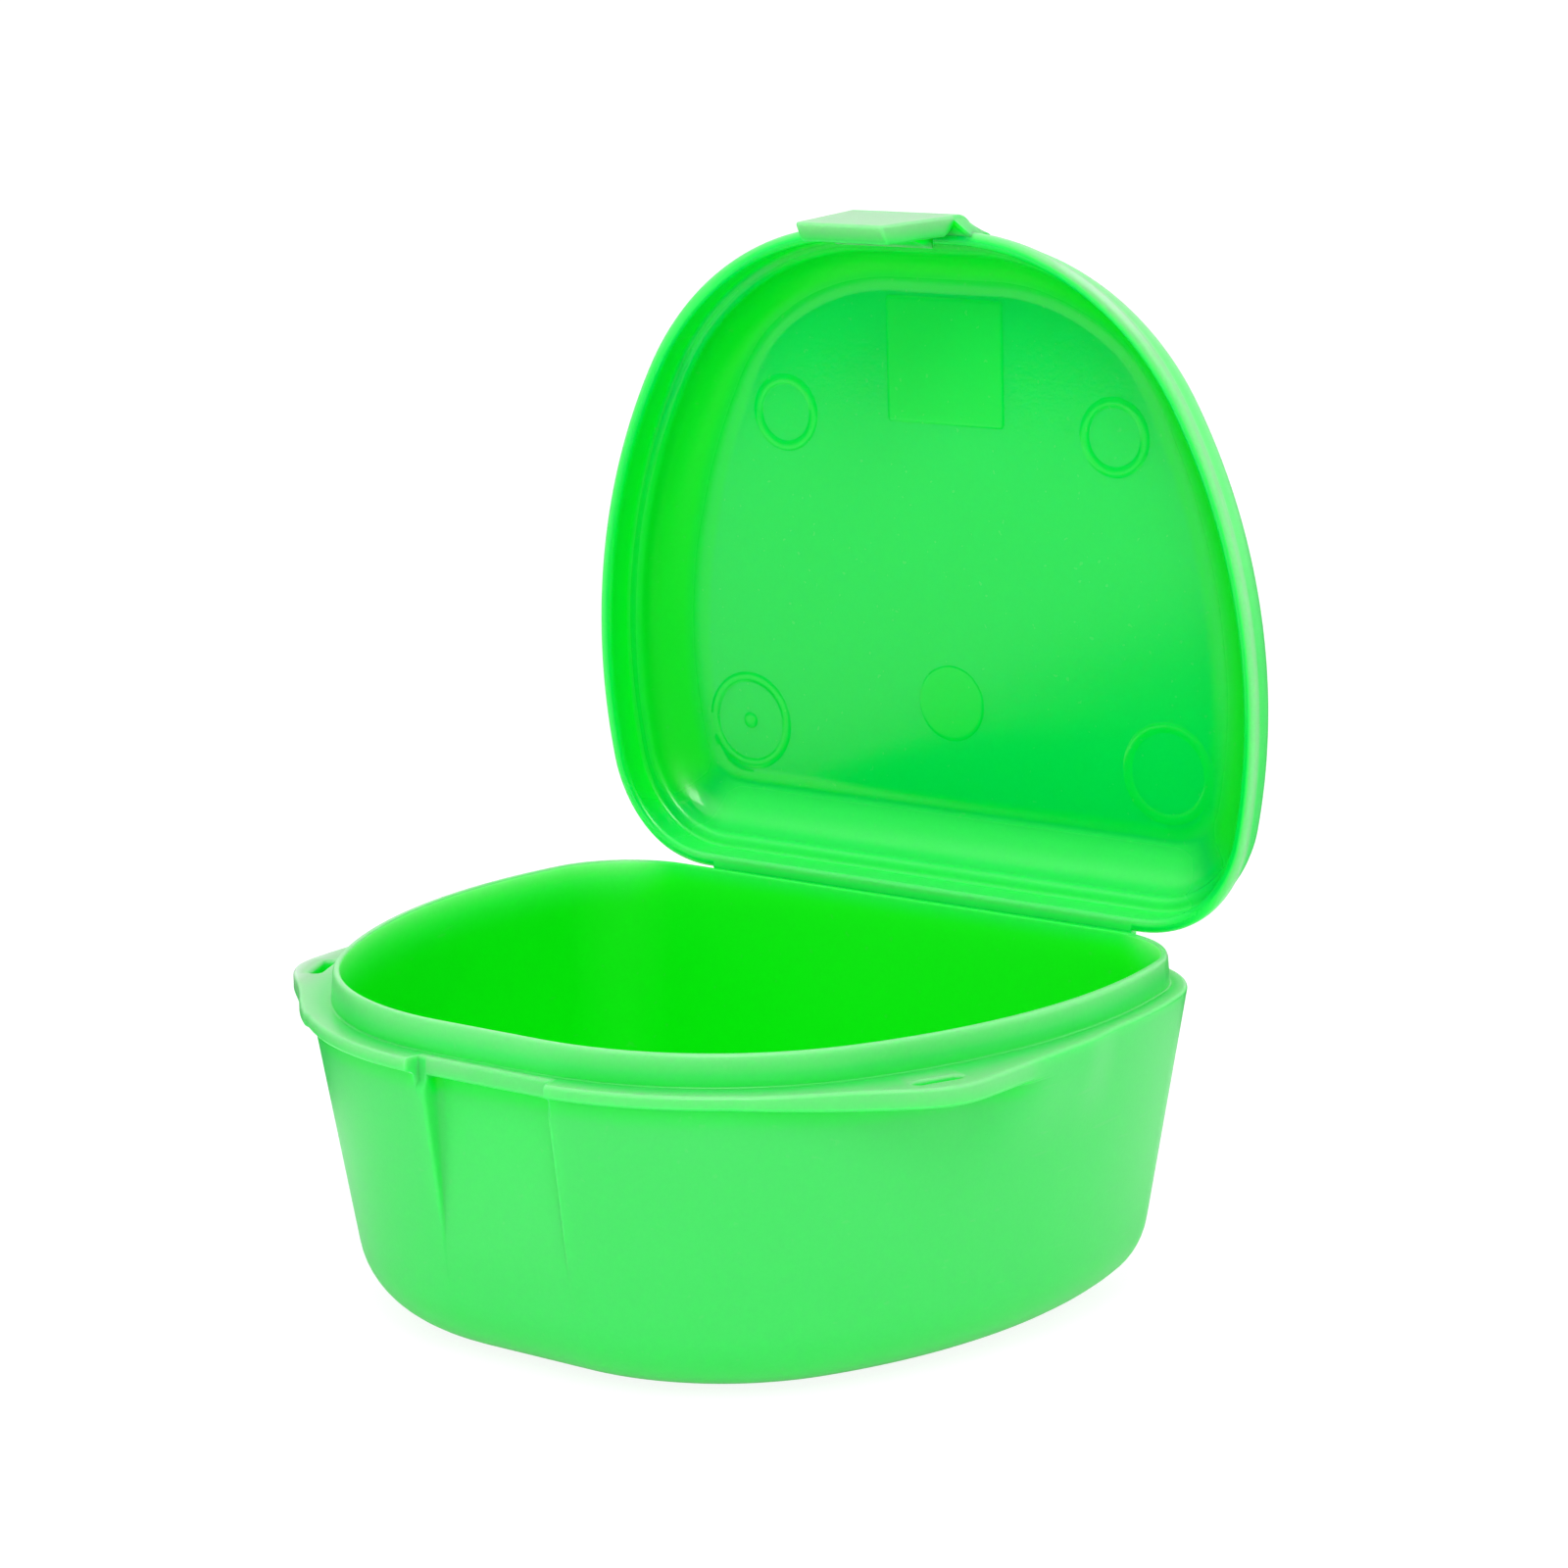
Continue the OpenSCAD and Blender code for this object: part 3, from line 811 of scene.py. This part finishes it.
def tab_section(front, back, front_half, back_half, edge_r):
    """Section across the tab between a front and a back line (y, z): a box with rounded corners."""
    points = []
    corners = ((-1, 0), (1, 0), (1, 1), (-1, 1))
    depth = (back - front).length
    for k, (side, place) in enumerate(corners):
        half = (front_half, back_half)[place]
        for turn in range(5):
            t = math.radians(180 + 90 * k + 22.5 * turn)
            x = side * (half - edge_r) + edge_r * math.cos(t)
            run = (edge_r, depth - edge_r)[place] + edge_r * math.sin(t)
            spot = front + (back - front) * (run / depth)
            points.append((x, spot.x, spot.y))
    return points


sections, tab_tones = [], []
for turn in range(0, 91, 18):
    t = math.radians(turn)
    inset, rise = tab_edge_r * (1 - math.sin(t)), tab_edge_r * (1 - math.cos(t))
    front = Vector((outer_y + inset, tip_z + rise))
    back = Vector((inner_y - inset, tip_z + rise + tip_lean))
    half = tab_half(tip_z + rise) - inset
    sections.append(tab_section(front, back, half, half, tab_edge_r * (0.35 + 0.65 * math.sin(t))))
    tab_tones += [face_tone] * 10 + [back_tone] * 10
tip_back = tip_z + tab_edge_r + tip_lean
for part in spread(0, 1, 8) + spread(1, 2, 10):
    if part <= 1:
        front_z = tip_z + tab_edge_r + part * (tab_drop - tab_edge_r - flex_l)
        back_z = tip_back + part * (rim_z - flex_l - tip_back)
    else:
        front_z = back_z = rim_z - (2 - part) * flex_l
    front, back = Vector((outer_y, front_z)), Vector((tab_back(back_z), back_z))
    sections.append(tab_section(front, back, tab_half(front_z), tab_half(back_z), tab_edge_r))
    tab_tones += [face_tone] * 10 + [back_tone - back_tone * max(0.0, part - 1)] * 10
foot = tab_half(rim_z) + boss_flare
for rise in [0.02, 0.5] + [boss_flat + (boss_h - boss_flat) * k / 12 for k in range(13)]:
    buried_y = front_y + boss_bury + boss_bury_more * ease(*bury_ends, rise)
    front, back = Vector((boss_face(rise), rim_z + rise)), Vector((buried_y, rim_z + rise))
    corner = min(tab_edge_r, 0.4 * (back - front).length)
    sections.append(tab_section(front, back, tab_half(rim_z + rise), foot, corner))
    tab_tones += [boss_tone] * 10 + [boss_root_tone] * 10
tab_points = [p for section in sections for p in section]
around = len(sections[0])
tab_faces = end_faces(len(sections), around) + side_faces(len(sections), around)
tab = solid("snap_tab", tab_points, tab_faces, tab_tones)

hook_z = ledge_h - notch_t - hook_gap
hook_section = [
    (inner_y - hook_root, hook_z),
    (inner_y + hook_d, hook_z),
    (inner_y + hook_d, hook_z - hook_nose),
    (inner_y, hook_z - hook_h),
    (inner_y - hook_root, hook_z - hook_h),
]
hook_points = [(x, y, z) for x in (-hook_w / 2, hook_w / 2) for y, z in hook_section]
hook_faces = end_faces(2, len(hook_section)) + side_faces(2, len(hook_section))
hook = solid("hook", hook_points, hook_faces, [hook_tone] * len(hook_points))
join_solid(tab, hook, "UNION")
tab.data.transform(to_open)
even_shading(tab)
tab.data.materials.append(polypropylene("tab_green", case_tints, 0.28))
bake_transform(tab)
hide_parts("latch_tab")

# Studio
# A wide sheet of pale paper that glows faintly, painted light that softens the case's shadow on it, a
# bright even surround and one large soft light. In the plastic's gloss the paper shows a painted
# reflection: bright only in a pool round the case and a patch at the front left, and painted shade dimmer
# under the case.
# The camera stands where the photograph was taken from: front right, a little above the rim.
floor_half, floor_z = 12.0, -0.00005
paper_white, paper_rough, paper_glow = 0.95, 0.9, 0.2
backdrop_glow, backdrop_share = 1.05, 0.8
pool_c, pool_edge, pool_levels = (0.05, -0.02, floor_z), (0.125, 0.14), (1.0, 0.02)
patch_c, patch_edges = (-0.21, -0.22, floor_z), {"X": (0.085, 0.115), "Y": (0.11, 0.18)}
contact_edge, contact_levels = (0.03, 0.07), (0.4, 1.0)
floor_mesh = bpy.data.meshes.new("floor")
floor_corners = [(-1, -1), (1, -1), (1, 1), (-1, 1)]
floor_points = [(x * floor_half, y * floor_half, floor_z) for x, y in floor_corners]
floor_mesh.from_pydata(floor_points, [], [(0, 1, 2, 3)])
floor = bpy.data.objects.new("floor", floor_mesh)
bpy.context.scene.collection.objects.link(floor)


def reckon_place(tree, operation, place, other=None):
    """Vector math on a place, with a plain vector where the operation needs one."""
    node = tree.nodes.new("ShaderNodeVectorMath")
    node.operation = operation
    tree.links.new(place, node.inputs[0])
    if other is not None:
        node.inputs[1].default_value = other
    return node.outputs


def studio_paper():
    """Matt white paper that glows faintly. The camera sees an almost even backdrop, and gloss sees a
    painted reflection: the pool and the patch, dimmer under the case.
    """
    material = bpy.data.materials.new("studio_paper")
    material.use_nodes = True
    tree = material.node_tree
    matt = tree.nodes["Principled BSDF"]
    matt.inputs["Base Color"].default_value = (paper_white, paper_white, paper_white, 1)
    matt.inputs["Roughness"].default_value = paper_rough
    matt.inputs["Emission Color"].default_value = (1, 1, 1, 1)
    matt.inputs["Emission Strength"].default_value = paper_glow
    place = tree.nodes.new("ShaderNodeTexCoord").outputs["Object"]
    from_pool = reckon_place(tree, "DISTANCE", place, pool_c)["Value"]
    pool = map_range(tree, from_pool, pool_edge, pool_levels)
    from_patch = reckon_place(tree, "SUBTRACT", place, patch_c)["Vector"]
    off_patch = tree.nodes.new("ShaderNodeSeparateXYZ")
    tree.links.new(reckon_place(tree, "ABSOLUTE", from_patch)["Vector"], off_patch.inputs["Vector"])
    fades = [map_range(tree, off_patch.outputs[k], patch_edges[k], (1, 0), True) for k in patch_edges]
    patch = reckon(tree, "MULTIPLY", *fades)
    from_middle = reckon_place(tree, "LENGTH", place)["Value"]
    contact = map_range(tree, from_middle, contact_edge, contact_levels)

    mirrored = tree.nodes.new("ShaderNodeEmission")
    tree.links.new(reckon(tree, "MAXIMUM", pool, patch), mirrored.inputs["Color"])
    tree.links.new(contact, mirrored.inputs["Strength"])
    ray = tree.nodes.new("ShaderNodeLightPath")
    in_gloss = tree.nodes.new("ShaderNodeMixShader")
    tree.links.new(ray.outputs["Is Glossy Ray"], in_gloss.inputs["Fac"])
    tree.links.new(matt.outputs["BSDF"], in_gloss.inputs[1])
    tree.links.new(mirrored.outputs["Emission"], in_gloss.inputs[2])
    backdrop = tree.nodes.new("ShaderNodeEmission")
    backdrop.inputs["Strength"].default_value = backdrop_glow
    share = reckon(tree, "MULTIPLY", ray.outputs["Is Camera Ray"], backdrop_share)
    in_view = tree.nodes.new("ShaderNodeMixShader")
    tree.links.new(share, in_view.inputs["Fac"])
    tree.links.new(in_gloss.outputs["Shader"], in_view.inputs[1])
    tree.links.new(backdrop.outputs["Emission"], in_view.inputs[2])
    tree.links.new(in_view.outputs["Shader"], tree.nodes["Material Output"].inputs["Surface"])
    return material


floor_mesh.materials.append(studio_paper())

# Surround: how bright it is by tilt (Z) and towards the rear (Y), plain and as the gloss sees it
sky_tilts, sky_levels = (0.2, 1.0), (1.0, 1.25)
over_tilts, over_levels = (0.35, 0.75), (0.06, 1.4)
rear_ways, rear_levels = (0.1, 0.5), (0.06, 1.1)


def studio_surround():
    """White surround, a little brighter overhead. Gloss sees it bright only overhead and at the rear."""
    world = bpy.data.worlds.new("studio")
    world.use_nodes = True
    tree = world.node_tree
    background = tree.nodes["Background"]
    background.inputs["Color"].default_value = (1, 1, 1, 1)
    way = tree.nodes.new("ShaderNodeSeparateXYZ")
    tree.links.new(tree.nodes.new("ShaderNodeTexCoord").outputs["Generated"], way.inputs["Vector"])
    plain = map_range(tree, way.outputs["Z"], sky_tilts, sky_levels)
    over = map_range(tree, way.outputs["Z"], over_tilts, over_levels, True)
    rear = map_range(tree, way.outputs["Y"], rear_ways, rear_levels, True)
    choice = tree.nodes.new("ShaderNodeMix")
    ray = tree.nodes.new("ShaderNodeLightPath")
    tree.links.new(ray.outputs["Is Glossy Ray"], choice.inputs["Factor"])
    tree.links.new(plain, choice.inputs["A"])
    tree.links.new(reckon(tree, "MAXIMUM", over, rear), choice.inputs["B"])
    tree.links.new(choice.outputs["Result"], background.inputs["Strength"])
    return world


bpy.context.scene.world = studio_surround()

# Large soft light over the front right
key_place, key_target = Vector((0.282, -0.439, 0.685)), Vector((0.0, 0.01, 0.04))
key_data = bpy.data.lights.new("key_light", "AREA")
key_data.shape = "SQUARE"
key_data.size = 0.34
key_data.energy = 2.2
key_light = bpy.data.objects.new("key_light", key_data)
key_light.location = key_place
key_light.rotation_euler = (key_target - key_place).to_track_quat("-Z", "Y").to_euler()
bpy.context.scene.collection.objects.link(key_light)

# Camera, placed and turned as the photograph's perspective gives it
camera_place = Vector((0.2409, -0.3170, 0.1331))
camera_azimuth, camera_elevation, camera_roll = 36.08, 11.73, -0.51
focal_px, photo_px, sensor = 4370.4, 1600, 36.0
azimuth, elevation = math.radians(camera_azimuth), math.radians(camera_elevation)
level = math.cos(elevation)
back = Vector((math.sin(azimuth) * level, -math.cos(azimuth) * level, math.sin(elevation)))
level_right = Vector((math.cos(azimuth), math.sin(azimuth), 0))
level_up = back.cross(level_right)
roll = math.radians(camera_roll)
right = level_right * math.cos(roll) + level_up * math.sin(roll)
up = level_up * math.cos(roll) - level_right * math.sin(roll)
camera_data = bpy.data.cameras.new("photo_camera")
camera_data.sensor_width = sensor
camera_data.lens = focal_px / photo_px * sensor
camera_data.clip_start = 0.01
camera_data.clip_end = 100
camera = bpy.data.objects.new("photo_camera", camera_data)
camera.matrix_world = Matrix.Translation(camera_place) @ Matrix((right, up, back)).transposed().to_4x4()
bpy.context.scene.collection.objects.link(camera)
bpy.context.scene.camera = camera
bpy.context.scene.view_settings.view_transform = "Standard"
